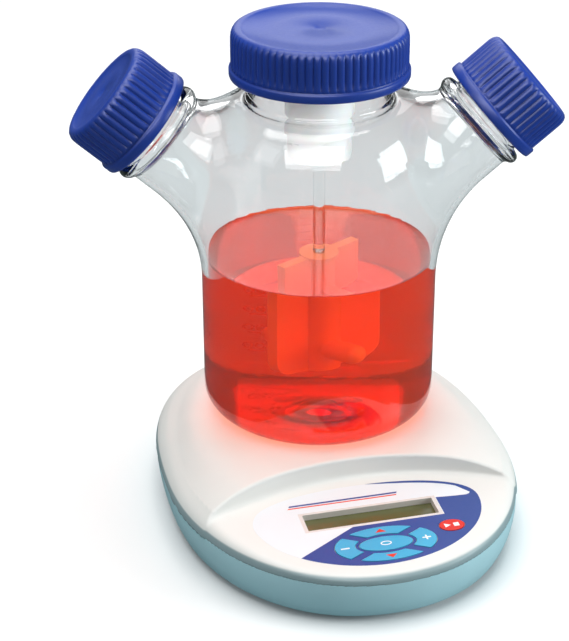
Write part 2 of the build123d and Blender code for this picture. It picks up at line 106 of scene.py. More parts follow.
BASE_LOW, BASE_HIGH = box("top_cover")
BASE_LENGTH = BASE_HIGH[1] - BASE_LOW[1]
BASE_WIDTH = BASE_HIGH[0] - BASE_LOW[0]
WIDEST_Y = -4.4
FRONT_ROUNDNESS = 2.1
REAR_ROUNDNESS = 2.55
RIM_Z = 31.0
RIM_INSET = 6.5
SEAT_RADIUS = 59.0
DOME_FULLNESS = 1.6
SHELL_WALL = 2.4
PANEL_SLOPE = (28.7 - 25.5) / 71.0
PANEL_Y = -61.0
PANEL_Z = 27.35
STEP_RADIUS = 150.0
STEP_Y = -30.2

# printed overlay, display and keys in the panel's plane: u across, v up the slope
OVERLAY_HALF, OVERLAY_BACK, OVERLAY_FRONT, OVERLAY_V = 53.9, 20.7, 41.0, 3.0
OVERLAY_ROUNDNESS_BACK, OVERLAY_ROUNDNESS_FRONT = 2.2, 1.95
DISPLAY_U = 0.8
DISPLAY_SIZE = (65.6, 15.0)
KEYPAD = (1.2, -23.2)
START_KEY = (34.3, -16.9)
KEYPAD_RECESS = (24.4, 13.1)
START_RECESS = (6.7, 4.9)
RECESS_DEPTHS = {"panel": 0.06, "overlay": 0.8, "keys": 1.0}
KEY_OFFSET = (19, 9.6)
KEY_STEMS = {
    "key_up": (KEYPAD[0], KEYPAD[1] + KEY_OFFSET[1]),
    "key_down": (KEYPAD[0], KEYPAD[1] - KEY_OFFSET[1]),
    "key_left": (KEYPAD[0] - KEY_OFFSET[0], KEYPAD[1]),
    "key_right": (KEYPAD[0] + KEY_OFFSET[0], KEYPAD[1]),
    "key_centre": KEYPAD,
    "key_start_stop": START_KEY,
}
STEM_HOLE_RADIUS = 2.1
INK_THICKNESS = 0.03
OVERLAY_INK_HEIGHT = 0.03
KEY_INK_HEIGHT = 0.27


# ---------------------------------------------------------------- meshes
def add_mesh(name, points, faces, body, replaced=(), slot=None, material=None, smooth=True):
    """Make a piece from points in millimetres, riding on a CAD body."""
    mesh = bpy.data.meshes.new(name)
    mesh.from_pydata((np.asarray(points) * MM).tolist(), [], [[int(k) for k in face] for face in faces])
    mesh.validate()
    mesh.update()
    if smooth:
        mesh.shade_smooth()
    piece = bpy.data.objects.new(name, mesh)
    bpy.context.scene.collection.objects.link(piece)
    if material is not None:
        mesh.materials.append(material)
    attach(piece, body)
    if replaced:
        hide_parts(*replaced)
    return piece


def gradient(field, points, step=0.05):
    """Central differences of a field at points."""
    result = np.empty_like(points)
    for axis in range(3):
        shift = np.zeros(3)
        shift[axis] = step
        result[:, axis] = (field(points + shift) - field(points - shift)) / (2 * step)
    return result


def settle(points, field, cell, steps=5):
    """Move points on to the zero level of a field, by no more than a cell in each step."""
    for _ in range(steps):
        slope = gradient(field, points)
        size = np.maximum((slope ** 2).sum(1), 1e-6)
        move = slope * (field(points) / size)[:, None]
        length = np.sqrt((move ** 2).sum(1))
        points = points - move * np.minimum(1, 0.7 * cell / np.maximum(length, 1e-9))[:, None]
    return points


def surface_net(field, low, high, cell):
    """Quads on the zero level of a field: one point for each grid cell that the surface crosses."""
    axes = [np.arange(low[k], high[k] + cell, cell) for k in range(3)]
    grid = np.stack(np.meshgrid(*axes, indexing="ij"), -1)
    shape = grid.shape[:3]
    inside = field(grid.reshape(-1, 3)).reshape(shape) < 0
    count = np.zeros([n - 1 for n in shape], int)
    for corner in np.ndindex(2, 2, 2):
        part = tuple(slice(c, n - 1 + c) for c, n in zip(corner, shape))
        count += inside[part]
    crossed = (count > 0) & (count < 8)
    number = np.full(crossed.shape, -1)
    number[crossed] = np.arange(crossed.sum())
    points = np.argwhere(crossed) * cell + np.array(low) + cell / 2
    quads = []
    for axis in range(3):
        first = np.take(inside, range(shape[axis] - 1), axis)
        second = np.take(inside, range(1, shape[axis]), axis)
        edges = np.argwhere(first != second)
        outward = first[tuple(edges.T)]
        a, b = (axis + 1) % 3, (axis + 2) % 3
        ring = []
        for da, db in ((0, 0), (1, 0), (1, 1), (0, 1)):
            cellpos = edges.copy()
            cellpos[:, a] -= da
            cellpos[:, b] -= db
            ring.append(number[tuple(cellpos.T)])
        ring = np.stack(ring, 1)
        quads.append(np.where(outward[:, None], ring, ring[:, ::-1]))
    return points, np.concatenate(quads)


def relaxed(points, quads, field, cell, rounds=4):
    """Even out a net along its surface, keeping it on the surface."""
    ends = np.concatenate([quads[:, [k, (k + 1) % 4]] for k in range(4)])
    degree = np.bincount(ends[:, 0], minlength=len(points))
    degree = np.maximum(degree, 1)[:, None]
    for _ in range(rounds):
        total = np.stack([np.bincount(ends[:, 0], points[ends[:, 1], k], len(points)) for k in range(3)], 1)
        points = settle(points + 0.6 * (total / degree - points), field, cell, 2)
    return points


def net_mesh(name, field, low, high, cell, body, place=None, **looks):
    """A piece whose surface is the zero level of a field, with exact smooth normals."""
    points, quads = surface_net(field, low, high, cell)
    points = settle(points, field, cell)
    points = relaxed(points, quads, field, cell)
    normals = gradient(field, points, 0.15)
    normals /= np.maximum(np.sqrt((normals ** 2).sum(1)), 1e-9)[:, None]
    if place is not None:
        turn, shift = place
        points = points @ turn.T + shift
        normals = normals @ turn.T
    piece = add_mesh(name, points, quads, body, **looks)
    piece.data.normals_split_custom_set_from_vertices(normals.tolist())
    return piece


def smooth_min(a, b, blend):
    """Smaller of two distances with a rounded inside corner."""
    overlap = np.maximum(blend - np.abs(a - b), 0) / blend
    return np.minimum(a, b) - overlap * overlap * blend / 4


def smooth_max(a, b, blend):
    """Larger of two distances with a rounded outside corner."""
    return -smooth_min(-a, -b, blend)


def lathe_mesh(name, outline, segments, body, place, ripple=None, **looks):
    """Closed piece turned from (radius, height) points that start and end on its axis.

    ripple gives what is added to the radius of a row of points at each angle.
    """
    turn, shift = place
    angles = np.arange(segments) * 2 * pi / segments
    points = [(0, 0, outline[0][1])]
    for k, (radius, height) in enumerate(outline[1:-1]):
        grow = ripple(k + 1, angles) if ripple else np.zeros(segments)
        ring = np.stack([(radius + grow) * np.cos(angles), (radius + grow) * np.sin(angles)], 1)
        points.extend((x, y, height) for x, y in ring)
    points.append((0, 0, outline[-1][1]))
    rings = len(outline) - 2
    faces = []
    for s in range(segments):
        t = (s + 1) % segments
        faces.append((0, 1 + t, 1 + s))
        for r in range(rings - 1):
            low, high = 1 + r * segments, 1 + (r + 1) * segments
            faces.append((low + s, low + t, high + t, high + s))
        faces.append((1 + (rings - 1) * segments + s, 1 + (rings - 1) * segments + t, len(points) - 1))
    return add_mesh(name, np.array(points) @ turn.T + shift, faces, body, **looks)


# ---------------------------------------------------------------- materials
def linear(color):
    """Linear RGBA from sRGB 0 to 255."""
    scaled = [c / 255 for c in color]
    return [c / 12.92 if c <= 0.04045 else ((c + 0.055) / 1.055) ** 2.4 for c in scaled] + [1.0]


def new_material(name):
    """An empty node material and its shader."""
    material = bpy.data.materials.new(name)
    material.use_nodes = True
    tree = material.node_tree
    return material, tree, tree.nodes["Principled BSDF"]


def noise(tree, scale, detail=4.0):
    """Noise texture over the object's own coordinates, in metres."""
    place = tree.nodes.new("ShaderNodeTexCoord")
    node = tree.nodes.new("ShaderNodeTexNoise")
    node.inputs["Scale"].default_value = scale
    node.inputs["Detail"].default_value = detail
    tree.links.new(place.outputs["Object"], node.inputs["Vector"])
    return node


def ramp(tree, source, stops):
    """Colour ramp fed by a value; stops are (position, RGBA)."""
    node = tree.nodes.new("ShaderNodeValToRGB")
    elements = node.color_ramp.elements
    while len(elements) < len(stops):
        elements.new(0.5)
    for element, (position, color) in zip(elements, stops):
        element.position = position
        element.color = color
    tree.links.new(source, node.inputs[0])
    return node


def bump(tree, shader, source, distance, strength=1.0):
    """Fine surface relief in metres."""
    node = tree.nodes.new("ShaderNodeBump")
    node.inputs["Distance"].default_value = distance
    node.inputs["Strength"].default_value = strength
    tree.links.new(source, node.inputs["Height"])
    tree.links.new(node.outputs["Normal"], shader.inputs["Normal"])
    return node


def varied(color, amount):
    """Two shades of a colour, darker and lighter."""
    base = linear(color)[:3]
    return [[min(1, c * (1 + change)) for c in base] + [1] for change in (-amount, amount)]


def moulded(name, color, roughness, variation, grain, relief, metallic=0.0, coat=0.0, subsurface=0.0):
    """Moulded or machined surface: cloudy colour, uneven gloss and a fine grain; relief is in metres."""
    material, tree, shader = new_material(name)
    dark, light = varied(color, variation)
    cloud = noise(tree, 38.0)
    tint = ramp(tree, cloud.outputs["Fac"], ((0.3, dark), (0.7, light)))
    tree.links.new(tint.outputs["Color"], shader.inputs["Base Color"])
    fine = noise(tree, grain, 2.0)
    gloss = tree.nodes.new("ShaderNodeMapRange")
    gloss.inputs["To Min"].default_value = roughness * 0.85
    gloss.inputs["To Max"].default_value = min(1, roughness * 1.15)
    tree.links.new(fine.outputs["Fac"], gloss.inputs["Value"])
    tree.links.new(gloss.outputs["Result"], shader.inputs["Roughness"])
    bump(tree, shader, fine.outputs["Fac"], relief)
    shader.inputs["Metallic"].default_value = metallic
    shader.inputs["Coat Weight"].default_value = coat
    shader.inputs["Subsurface Weight"].default_value = subsurface
    shader.inputs["Subsurface Scale"].default_value = 0.003
    return material


def let_lamps_through(tree, shader, tint):
    """Rays from lamps pass a clear piece with this tint, so that what stands behind it is lit."""
    path = tree.nodes.new("ShaderNodeLightPath")
    clear = tree.nodes.new("ShaderNodeBsdfTransparent")
    clear.inputs["Color"].default_value = linear(tint)
    mix = tree.nodes.new("ShaderNodeMixShader")
    tree.links.new(path.outputs["Is Shadow Ray"], mix.inputs["Fac"])
    tree.links.new(shader.outputs["BSDF"], mix.inputs[1])
    tree.links.new(clear.outputs["BSDF"], mix.inputs[2])
    tree.links.new(mix.outputs["Shader"], tree.nodes["Material Output"].inputs["Surface"])


def paint_side_shade(material, color, low, high):
    """Paint shade on a moulding below a height, in millimetres above the bench, fading out at a second height: a
    darker, cooler colour in place of the dim light on its sides.
    """
    tree = material.node_tree
    shader = tree.nodes["Principled BSDF"]
    upper = shader.inputs["Base Color"].links[0].from_socket
    place = tree.nodes.new("ShaderNodeTexCoord")
    parts = tree.nodes.new("ShaderNodeSeparateXYZ")
    level = tree.nodes.new("ShaderNodeMapRange")
    level.interpolation_type = "SMOOTHSTEP"
    level.inputs["From Min"].default_value = low * MM
    level.inputs["From Max"].default_value = high * MM
    mix = tree.nodes.new("ShaderNodeMix")
    mix.data_type = "RGBA"
    mix.inputs[6].default_value = linear(color)
    tree.links.new(place.outputs["Object"], parts.inputs[0])
    tree.links.new(parts.outputs["Z"], level.inputs["Value"])
    tree.links.new(level.outputs["Result"], mix.inputs[0])
    tree.links.new(upper, mix.inputs[7])
    tree.links.new(mix.outputs[2], shader.inputs["Base Color"])


def glass(name, color=(255, 255, 255), ior=1.47, roughness=0.0):
    """Clear glass with faint drawing lines in its gloss."""
    material, tree, shader = new_material(name)
    shader.inputs["Base Color"].default_value = linear(color)
    shader.inputs["Transmission Weight"].default_value = 1.0
    shader.inputs["IOR"].default_value = ior
    shader.inputs["Roughness"].default_value = roughness
    wave = noise(tree, 45.0, 1.0)
    bump(tree, shader, wave.outputs["Fac"], 0.0004, 0.25)
    let_lamps_through(tree, shader, (247, 249, 249))
    return material


def liquid(name):
    """Orange-red culture medium, clear but deeply coloured."""
    material, tree, shader = new_material(name)
    cloud = noise(tree, 30.0, 2.0)
    dark, light = varied((255, 92, 20), 0.03)
    tint = ramp(tree, cloud.outputs["Fac"], ((0.3, dark), (0.7, light)))
    tree.links.new(tint.outputs["Color"], shader.inputs["Base Color"])
    shader.inputs["Transmission Weight"].default_value = 0.86
    shader.inputs["IOR"].default_value = 1.34
    shader.inputs["Roughness"].default_value = 0.02
    depth = tree.nodes.new("ShaderNodeVolumeAbsorption")
    depth.inputs["Color"].default_value = linear((251, 160, 8))
    depth.inputs["Density"].default_value = 30.0
    tree.links.new(depth.outputs["Volume"], tree.nodes["Material Output"].inputs["Volume"])
    let_lamps_through(tree, shader, (250, 243, 238))
    return material


CREAM = moulded("cover_cream", (238, 237, 233), 0.42, 0.012, 1400, 0.00002)
# painted shade: the cover's low side band is coloured grey-cyan for the dim cool light that falls there
paint_side_shade(CREAM, (150, 170, 174), 24.2, 25.2)
SHELL = moulded("shell_blue_grey", (192, 230, 238), 0.42, 0.02, 1400, 0.00002)
CAP = moulded("cap_blue", (20, 60, 160), 0.36, 0.03, 700, 0.00003, subsurface=0.05)
GLASS_CLEAR = glass("flask_glass")
ROD = glass("rod_glass", (250, 252, 252))
MEDIUM = liquid("medium_orange")
PADDLE = moulded("paddle_white", (244, 240, 234), 0.45, 0.015, 900, 0.00002, subsurface=0.2)
PLUG = moulded("plug_white", (240, 242, 242), 0.4, 0.012, 900, 0.00002, subsurface=0.3)
INK_BLUE = moulded("ink_blue", (38, 70, 148), 0.48, 0.02, 600, 0.00001)
INK_RED = moulded("ink_red", (236, 60, 40), 0.3, 0.02, 600, 0.00001)
INK_WHITE = moulded("ink_white", (246, 248, 250), 0.3, 0.01, 600, 0.00001)
SLOT_LOOKS = {
    "cover_cream": CREAM,
    "shell_blue_grey": SHELL,
    "overlay_print": moulded("overlay_print", (238, 243, 247), 0.34, 0.004, 2500, 0.000002),
    "display_glass": moulded("display_glass", (94, 96, 60), 0.24, 0.08, 60, 0.00001, coat=0.25),
    "bezel_grey": moulded("bezel_grey", (228, 222, 218), 0.4, 0.015, 900, 0.00002),
    "board_green": moulded("board_green", (28, 92, 52), 0.35, 0.1, 500, 0.00002, coat=0.4),
    "gold_pins": moulded("gold_pins", (214, 170, 80), 0.25, 0.05, 1500, 0.00001, metallic=1.0),
    "chip_black": moulded("chip_black", (26, 26, 28), 0.5, 0.1, 1500, 0.00002),
    "screw_steel": moulded("screw_steel", (176, 178, 182), 0.3, 0.06, 2500, 0.00001, metallic=1.0),
    "switch_black": moulded("switch_black", (30, 30, 33), 0.45, 0.1, 1500, 0.00002),
    "motor_steel": moulded("motor_steel", (168, 170, 174), 0.32, 0.06, 1800, 0.00001, metallic=1.0),
    "bracket_steel": moulded("bracket_steel", (186, 190, 194), 0.38, 0.07, 300, 0.00002, metallic=1.0),
    "carrier_black": moulded("carrier_black", (34, 34, 36), 0.5, 0.08, 900, 0.00003),
    "magnet_nickel": moulded("magnet_nickel", (196, 192, 184), 0.2, 0.04, 2500, 0.00001, metallic=1.0),
    "bearing_bronze": moulded("bearing_bronze", (168, 122, 72), 0.4, 0.1, 2500, 0.00002, metallic=1.0),
    "inlet_black": moulded("inlet_black", (24, 24, 26), 0.4, 0.08, 900, 0.00002),
    "wire_red": moulded("wire_red", (186, 34, 30), 0.4, 0.05, 900, 0.00001),
    "flask_glass": GLASS_CLEAR,
    "medium_orange": MEDIUM,
    "plug_white": PLUG,
    "seal_white": moulded("seal_white", (232, 232, 228), 0.55, 0.02, 900, 0.00002),
    "bearing_ptfe": moulded("bearing_ptfe", (246, 246, 244), 0.35, 0.01, 900, 0.00001, subsurface=0.3),
    "cap_blue": CAP,
    "rod_glass": ROD,
    "paddle_white": PADDLE,
    "bar_white": moulded("bar_white", (246, 246, 246), 0.3, 0.01, 900, 0.00001),
    "key_blue": moulded("key_blue", (64, 176, 218), 0.32, 0.02, 600, 0.00001),
    "key_red": moulded("key_red", (226, 30, 14), 0.5, 0.02, 600, 0.00001),
    "foot_rubber": moulded("foot_rubber", (46, 46, 48), 0.8, 0.1, 700, 0.00006),
}


def dress_cad_nodes():
    """Give every CAD node the look of its material slot."""
    for subpart in frame["record"]["subparts"]:
        name = subpart["node"]
        material = SLOT_LOOKS.get(subpart.get("material_slot"))
        if material is None or name not in NODES:
            continue
        NODES[name].data.materials.clear()
        NODES[name].data.materials.append(material)


# ---------------------------------------------------------------- flask
RIGHT_ARM = joint_axis("right_cap_turn")
FLASK_YAW = atan2(RIGHT_ARM[1], RIGHT_ARM[0])
ARM_TILT = atan2(sqrt(RIGHT_ARM[0] ** 2 + RIGHT_ARM[1] ** 2), RIGHT_ARM[2])


def turn_z(angle):
    """Rotation matrix about Z."""
    return np.array([[cos(angle), -sin(angle), 0], [sin(angle), cos(angle), 0], [0, 0, 1]])


def tilt_y(angle):
    """Rotation matrix about Y."""
    return np.array([[cos(angle), 0, sin(angle)], [0, 1, 0], [-sin(angle), 0, cos(angle)]])


FLASK_PLACE = (turn_z(FLASK_YAW), np.array([AXIS[0], AXIS[1], 0]))


def flask_outline(inset, top):
    """Half section of the flask as (radius, height) points, from the floor's middle to the neck's top."""
    radius, corner, floor = FLASK_RADIUS - inset, FLASK_CORNER - inset, SEAT_Z + inset
    points = []
    for r in np.linspace(0, radius - corner, 24):
        dome = (2.0 + inset * 1.9) * np.exp(-(r / (9.0 + inset)) ** 2)
        foot_ring = 1.2 * np.cos(pi / 2 * r / (radius - corner)) ** 0.7 if inset == 0 else 0
        points.append((r, floor + dome + foot_ring))
    for a in np.linspace(0, pi / 2, 13)[1:]:
        points.append((radius - corner + corner * sin(a), floor + corner - corner * cos(a)))
    shoulder = (
        (radius, SHOULDER_Z),
        (radius, 180 - inset),
        (radius - 8, NECK_Z - inset),
        (NECK_RADIUS - inset + 3, NECK_Z - inset),
    )
    for t in np.linspace(0, 1, 41):
        weights = ((1 - t) ** 3, 3 * t * (1 - t) ** 2, 3 * t * t * (1 - t), t ** 3)
        points.append(tuple(sum(w * p[k] for w, p in zip(weights, shoulder)) for k in (0, 1)))
    for a in np.linspace(0, pi / 2, 7)[1:]:
        points.append((NECK_RADIUS - inset + 3 - 3 * sin(a), NECK_Z - inset + 3 - 3 * cos(a)))
    points.append((NECK_RADIUS - inset, top))
    points.append((0, top))
    return np.array(points)


TABLE_STEP = 0.25
TABLE_LOW = (0.0, SEAT_Z - 8)
TABLE_SIZE = (420, 860)


def outline_table(outline):
    """Signed distance to a half section on a regular grid of radius and height."""
    r = TABLE_LOW[0] + TABLE_STEP * np.arange(TABLE_SIZE[0])
    z = TABLE_LOW[1] + TABLE_STEP * np.arange(TABLE_SIZE[1])
    grid = np.stack(np.meshgrid(r, z, indexing="ij"), -1).reshape(-1, 2)
    closest = np.full(len(grid), 1e9)
    within = np.zeros(len(grid), bool)
    for start, end in zip(outline[:-1], outline[1:]):
        run = end - start
        along = np.clip(((grid - start) @ run) / max(run @ run, 1e-12), 0, 1)
        away = grid - start - along[:, None] * run
        closest = np.minimum(closest, (away ** 2).sum(1))
        crosses = (start[1] > grid[:, 1]) != (end[1] > grid[:, 1])
        if run[1] != 0:
            meets = start[0] + (grid[:, 1] - start[1]) / run[1] * run[0]
            within ^= crosses & (grid[:, 0] < meets)
    distance = np.sqrt(closest)
    return np.where(within, -distance, distance).reshape(TABLE_SIZE)


def look_up(table, r, z):
    """Bilinear value of a table; beyond its edge the distance goes on growing."""
    u = (r - TABLE_LOW[0]) / TABLE_STEP
    v = (z - TABLE_LOW[1]) / TABLE_STEP
    cu = np.clip(u, 0, TABLE_SIZE[0] - 1.001)
    cv = np.clip(v, 0, TABLE_SIZE[1] - 1.001)
    i, j = cu.astype(int), cv.astype(int)
    a, b = cu - i, cv - j
    value = (table[i, j] * (1 - a) + table[i + 1, j] * a) * (1 - b)
    value += (table[i, j + 1] * (1 - a) + table[i + 1, j + 1] * a) * b
    return value + (np.abs(u - cu) + np.abs(v - cv)) * TABLE_STEP


OUTER_TABLE = outline_table(flask_outline(0.0, NECK_TOP_Z))
INNER_TABLE = outline_table(flask_outline(GLASS, NECK_TOP_Z + 14))


def along_arm(points, side):
    """Distance along a side arm from the crossing point, and radius from its axis."""
    x, y, z = points.T
    z = z - ARM_CROSS_Z
    s = side * x * sin(ARM_TILT) + z * cos(ARM_TILT)
    across = np.maximum(x * x + y * y + z * z - s * s, 1e-9)
    return s, np.sqrt(across)


def step_between(value, low, high):
    """Smooth step from 0 to 1."""
    t = np.clip((value - low) / (high - low), 0, 1)
    return t * t * (3 - 2 * t)


def flask_outside(points):
    """Outer surface of the glass."""
    distance = look_up(OUTER_TABLE, np.hypot(points[:, 0], points[:, 1]), points[:, 2])
    for side in (-1, 1):
        s, radius = along_arm(points, side)
        tube = radius - ARM_RADIUS + (ARM_RADIUS - ARM_BORE - 2.8) * step_between(s, BEAD_S + 1, BEAD_S + 5)
        bead = np.hypot(radius - ARM_RADIUS - 0.6, s - BEAD_S) - 2.7
        tube = smooth_min(tube, bead, 2.0)
        tube = smooth_max(tube, s - ARM_MOUTH, 1.0)
        tube = np.maximum(tube, 30 - s)
        distance = smooth_min(distance, tube, ARM_BLEND)
    return distance


def flask_inside(points):
    """Inner surface of the glass, open at the neck and the arms."""
    distance = look_up(INNER_TABLE, np.hypot(points[:, 0], points[:, 1]), points[:, 2])
    for side in (-1, 1):
        s, radius = along_arm(points, side)
        tube = radius - ARM_RADIUS + GLASS
        tube = tube + (ARM_RADIUS - GLASS - ARM_BORE) * step_between(s, BEAD_S - 3, BEAD_S + 4)
        tube = np.maximum(tube, 30 - s)
        tube = np.maximum(tube, s - ARM_MOUTH - 8)
        distance = smooth_min(distance, tube, ARM_BLEND)
    return distance


def flask_wall(points):
    """The glass itself, with fire-polished rims."""
    return smooth_max(flask_outside(points), -flask_inside(points), 1.2)


def medium_outline():
    """Half section of the medium: along the floor, up the glass, and over its level.

    The level climbs a little where it meets the glass.
    """
    inset = GLASS - MEDIUM_OVERLAP
    wall = FLASK_RADIUS - inset
    wall_z = SEAT_Z + FLASK_CORNER + 1
    points = [tuple(point) for point in flask_outline(inset, NECK_TOP_Z) if point[1] < wall_z]
    points += [(wall, height) for height in np.linspace(points[-1][1], LIQUID_Z, 25)[1:-1]]
    for gap in (0.0, 0.25, 0.6, 1.1, 1.8, 2.8, 4.2, 6.5):
        points.append((wall - gap, LIQUID_Z - MENISCUS * (1 - exp(-gap / 1.6))))
    points += [(radius, LIQUID_Z - MENISCUS) for radius in np.linspace(wall - 10, 0, 6)]
    return points


def make_flask():
    """Glass vessel and the medium in it."""
    reach = ARM_MOUTH * sin(ARM_TILT) + ARM_RADIUS
    low = (-reach, -FLASK_RADIUS - 4, SEAT_Z - 2)
    high = (reach, FLASK_RADIUS + 4, NECK_TOP_Z + 2)
    net_mesh(
        "flask_glass", flask_wall, low, high, FLASK_CELL, "flask", FLASK_PLACE,
        replaced=("flask_vessel",), slot="flask_glass", material=GLASS_CLEAR,
    )
    medium = lathe_mesh(
        "culture_medium_body", medium_outline(), 192, "flask", FLASK_PLACE,
        replaced=("culture_medium",), slot="medium_orange", material=MEDIUM,
    )
    medium.data.set_sharp_from_angle(angle=radians(40))


# ---------------------------------------------------------------- volume scale
def around_flask(along, height, proud):
    """Place on the flask's rear wall of a point on the flat scale, in millimetres."""
    angle = SCALE_ANGLE + along / FLASK_RADIUS
    radius = FLASK_RADIUS + 0.03 + proud
    return (AXIS[0] + radius * cos(angle), AXIS[1] + radius * sin(angle), height)


def scale_line(height, start):
    """Corners and faces of one mark of the scale, wrapped around the flask."""
    length, width = SCALE_LINE
    section = ((0, 0), (SCALE_INK, 0), (SCALE_INK, width), (0, width))
    steps = np.linspace(SCALE_END - length, SCALE_END, 9)
    points = [around_flask(step, height + rise, proud) for step in steps for proud, rise in section]
    faces = [(start, start + 3, start + 2, start + 1), tuple(start + len(points) - 4 + k for k in range(4))]
    for ring in range(len(steps) - 1):
        near = start + 4 * ring
        for k in range(4):
            after = (k + 1) % 4
            faces.append((near + k, near + after, near + 4 + after, near + 4 + k))
    return points, faces


def scale_number(text, height, start):
    """Corners and faces of a number above its mark, which reads from behind."""
    width = SCALE_LINE[1]
    curve = bpy.data.curves.new("number", "FONT")
    curve.body = text
    curve.size = DIGIT_HEIGHT
    curve.extrude = SCALE_INK / 2
    curve.align_x = "RIGHT"
    curve.resolution_u = 4
    holder = bpy.data.objects.new("number", curve)
    flat = bpy.data.meshes.new_from_object(holder)
    points = [
        around_flask(v.co.x + 2 * SCALE_END, height + v.co.y + 2 * width, v.co.z + SCALE_INK / 2)
        for v in flat.vertices
    ]
    faces = [tuple(start + index for index in face.vertices) for face in flat.polygons]
    bpy.data.objects.remove(holder)
    bpy.data.meshes.remove(flat)
    bpy.data.curves.remove(curve)
    return points, faces


def make_scale():
    """White volume scale on the flask's rear wall, with a mark and a number for each tenth of a litre."""
    points, faces = [], []
    for mark in range(1, SCALE_MARKS + 1):
        height = SEAT_Z + GLASS + mark * SCALE_RISE
        line_points, line_faces = scale_line(height, len(points))
        points += line_points
        faces += line_faces
        number_points, number_faces = scale_number(str(100 * mark), height, len(points))
        points += number_points
        faces += number_faces
    add_mesh("volume_scale", points, faces, "flask", slot="overlay_print", material=INK_WHITE, smooth=False)


# ---------------------------------------------------------------- caps
def cap_outline(radius, flange_radius, flange, height, bore, dish):
    """Section of a screw cap from the middle of its inside, round its open end, to its top's middle."""
    lid = height - 2.6
    inside = [(0, lid), (bore - 1.5, lid), (bore, lid - 1.5), (bore, 0.8), (bore + 0.8, 0)]
    foot = [
        (flange_radius - 0.9, 0), (flange_radius - 0.25, 0.3), (flange_radius, 1.0),
        (flange_radius, flange - 1.0), (flange_radius - 0.3, flange - 0.3),
    ]
    skirt = [
        (radius - 0.3, flange), (radius, flange + 0.5), (radius, flange + 1.6),
        (radius, flange + 5.0), (radius, height - 8.0),
    ]
    shoulder = [
        (radius - 0.05, height - 4.5), (radius - 0.2, height - 3.2), (radius - 0.6, height - 2.0),
        (radius - 1.3, height - 0.9), (radius - 2.3, height - 0.25), (radius - 3.2, height),
    ]
    top = [
        (radius - 4.6, height - 0.05), (radius - 5.4, height - 0.35), (radius - 6.0, height - dish),
        (radius * 0.5, height - dish - 0.1), (3.2, height - dish),
        (2.4, height - dish - 0.5), (0, height - dish - 0.5),
    ]
    return inside + foot + skirt + shoulder + top


def ribs(count, outline, radius, flange, height):
    """Rounded grip ribs that run from above the flange to the rounded top edge."""
    def ripple(row, angles):
        across, z = outline[row]
        if z < flange + 0.4 or across < radius - 2.0 or z >= height - 0.1:
            return np.zeros(len(angles))
        fade_in = step_between(z, flange + 0.4, flange + 1.8)
        fade_out = 1 - step_between(z, height - 3.4, height - 0.6)
        wave = np.abs(np.sin(angles * count / 2)) ** 0.55
        return fade_in * fade_out * RIB_DEPTH * (wave - 1.0)
    return ripple


def make_cap(side, place, sizes):
    """One ribbed cap in place of its CAD node."""
    radius, flange_radius, flange, height, bore, count, dish = sizes
    outline = cap_outline(radius, flange_radius, flange, height, bore, dish)
    ripple = ribs(count, outline, radius, flange, height)
    lathe_mesh(
        f"{side}_cap_ribbed", outline, count * 12, f"{side}_cap_body", place, ripple,
        replaced=(f"{side}_cap",), slot="cap_blue", material=CAP,
    )


def make_caps():
    """Centre cap and the two side caps."""
    middle = np.array([AXIS[0], AXIS[1], box("center_cap")[0][2]])
    make_cap("center", (turn_z(0.02), middle), CENTER_CAP)
    for side, sign in (("left", -1), ("right", 1)):
        turn = turn_z(FLASK_YAW) @ tilt_y(sign * ARM_TILT)
        shift = np.array([AXIS[0], AXIS[1], ARM_CROSS_Z]) + turn @ np.array([0, 0, SIDE_CAP_S])
        make_cap(side, (turn, shift), SIDE_CAP)


# ---------------------------------------------------------------- top cover
def outline_radius(angle, inset):
    """Radius of the base's egg-shaped outline about its widest point."""
    rear = np.sin(angle) > 0
    roundness = np.where(rear, REAR_ROUNDNESS, FRONT_ROUNDNESS)
    half_width = BASE_WIDTH / 2 - inset
    reach = np.where(rear, BASE_LENGTH / 2 - WIDEST_Y, BASE_LENGTH / 2 + WIDEST_Y) - inset
    across = np.abs(np.cos(angle) / half_width) ** roundness
    along = np.abs(np.sin(angle) / reach) ** roundness
    return (across + along) ** (-1 / roundness)


def dome_field(points, wall):
    """Deck with its rolled edge: each height has its own section, from the outline to the seat's circle."""
    x, y, z = points.T
    z = z + wall
    up = np.clip((z - SPLIT_Z) / (RIM_Z - SPLIT_Z), 0, 1)
    inset = RIM_INSET * up ** 2.2 + wall
    rise = np.clip((z - RIM_Z) / (SEAT_Z - RIM_Z), 0, 0.9999)
    blend = 1 - (1 - rise) ** (1 / DOME_FULLNESS)
    centre = WIDEST_Y + (AXIS[1] - WIDEST_Y) * blend
    angle = np.arctan2(y - centre, x)
    section = outline_radius(angle, inset) * (1 - blend) + (SEAT_RADIUS - wall) * blend
    return np.hypot(x, y - centre) - section


def steepness(field, points):
    """A field over the size of its gradient, which is close to a distance."""
    size = np.sqrt((gradient(field, points, 0.2) ** 2).sum(1))
    return field(points) / np.maximum(size, 0.2)


def panel_uv(points):
    """Panel coordinates of points, and their height above the panel."""
    tilt = sqrt(1 + PANEL_SLOPE ** 2)
    y = points[:, 1] - PANEL_Y
    z = points[:, 2] - PANEL_Z
    return points[:, 0], (y + PANEL_SLOPE * z) / tilt, (z - PANEL_SLOPE * y) / tilt


def overlay_gauge(u, v):
    """Below 1 inside the printed overlay's teardrop outline."""
    behind = v > OVERLAY_V
    reach = np.where(behind, OVERLAY_BACK, OVERLAY_FRONT)
    roundness = np.where(behind, OVERLAY_ROUNDNESS_BACK, OVERLAY_ROUNDNESS_FRONT)
    return np.abs(u / OVERLAY_HALF) ** roundness + np.abs((v - OVERLAY_V) / reach) ** roundness


def panel_recess(u, v):
    """Depth of the shallow recess under the overlay, deeper under the keys."""
    depth = np.where(overlay_gauge(u, v) < 0.95, RECESS_DEPTHS["overlay"], RECESS_DEPTHS["panel"])
    for middle, half in ((KEYPAD, KEYPAD_RECESS), (START_KEY, START_RECESS)):
        within = ((u - middle[0]) / half[0]) ** 2 + ((v - middle[1]) / half[1]) ** 2 < 1
        depth = np.where(within, RECESS_DEPTHS["keys"], depth)
    return depth


